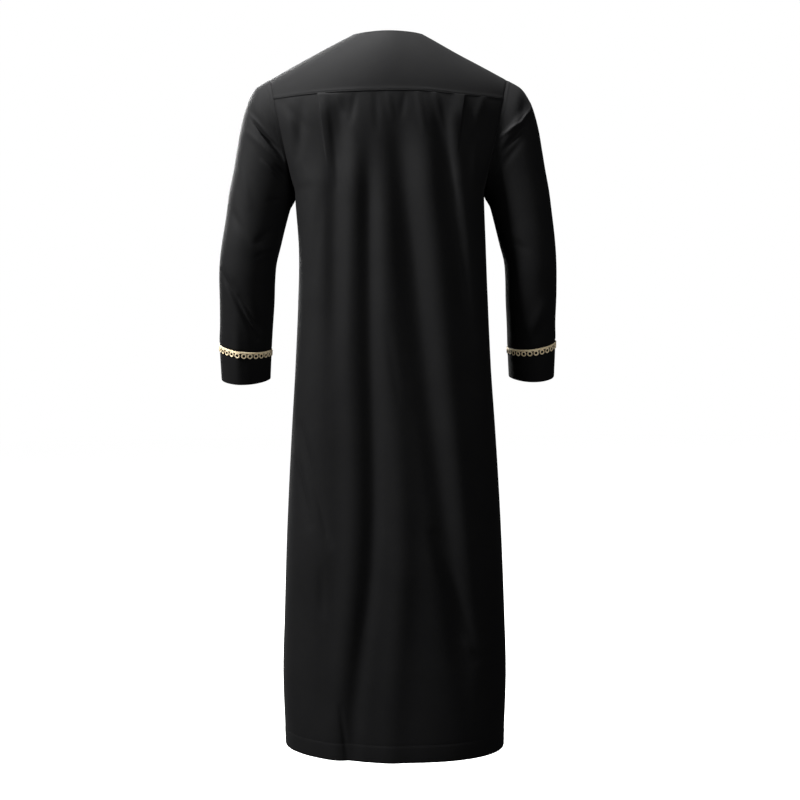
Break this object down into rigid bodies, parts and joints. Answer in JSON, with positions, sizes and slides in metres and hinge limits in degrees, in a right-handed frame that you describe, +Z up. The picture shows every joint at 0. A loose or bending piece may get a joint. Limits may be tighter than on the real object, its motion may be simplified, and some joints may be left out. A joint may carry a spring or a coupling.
{
  "type": "kaftan",
  "caption": "Long black robe with set-in sleeves, a back yoke, two back pleats and gold loop braid on the cuffs, worn form with no wearer.",
  "frame": {"origin": "between the shoulders, level with the sides of the neck opening, where the wearer's shoulders carry the garment", "axes": "+Z up, the front faces -Y, the wearer's left is +X"},
  "size_m": [0.6504, 0.2949, 1.3485],
  "materials": {
    "black_cloth": "plain woven black cloth with a soft sheen",
    "gold_braid": "pale gold corded braid",
    "button": "black shirt button"
  },
  "bodies": {
    "root": {"yoke": "black_cloth", "back": "black_cloth", "front": "black_cloth", "placket": "black_cloth", "button_1": "button", "button_2": "button", "button_3": "button", "button_4": "button", "sleeve_left": "black_cloth", "cuff_left": "black_cloth", "braid_left": "gold_braid", "sleeve_right": "black_cloth", "cuff_right": "black_cloth", "braid_right": "gold_braid"}
  },
  "joints": []
}
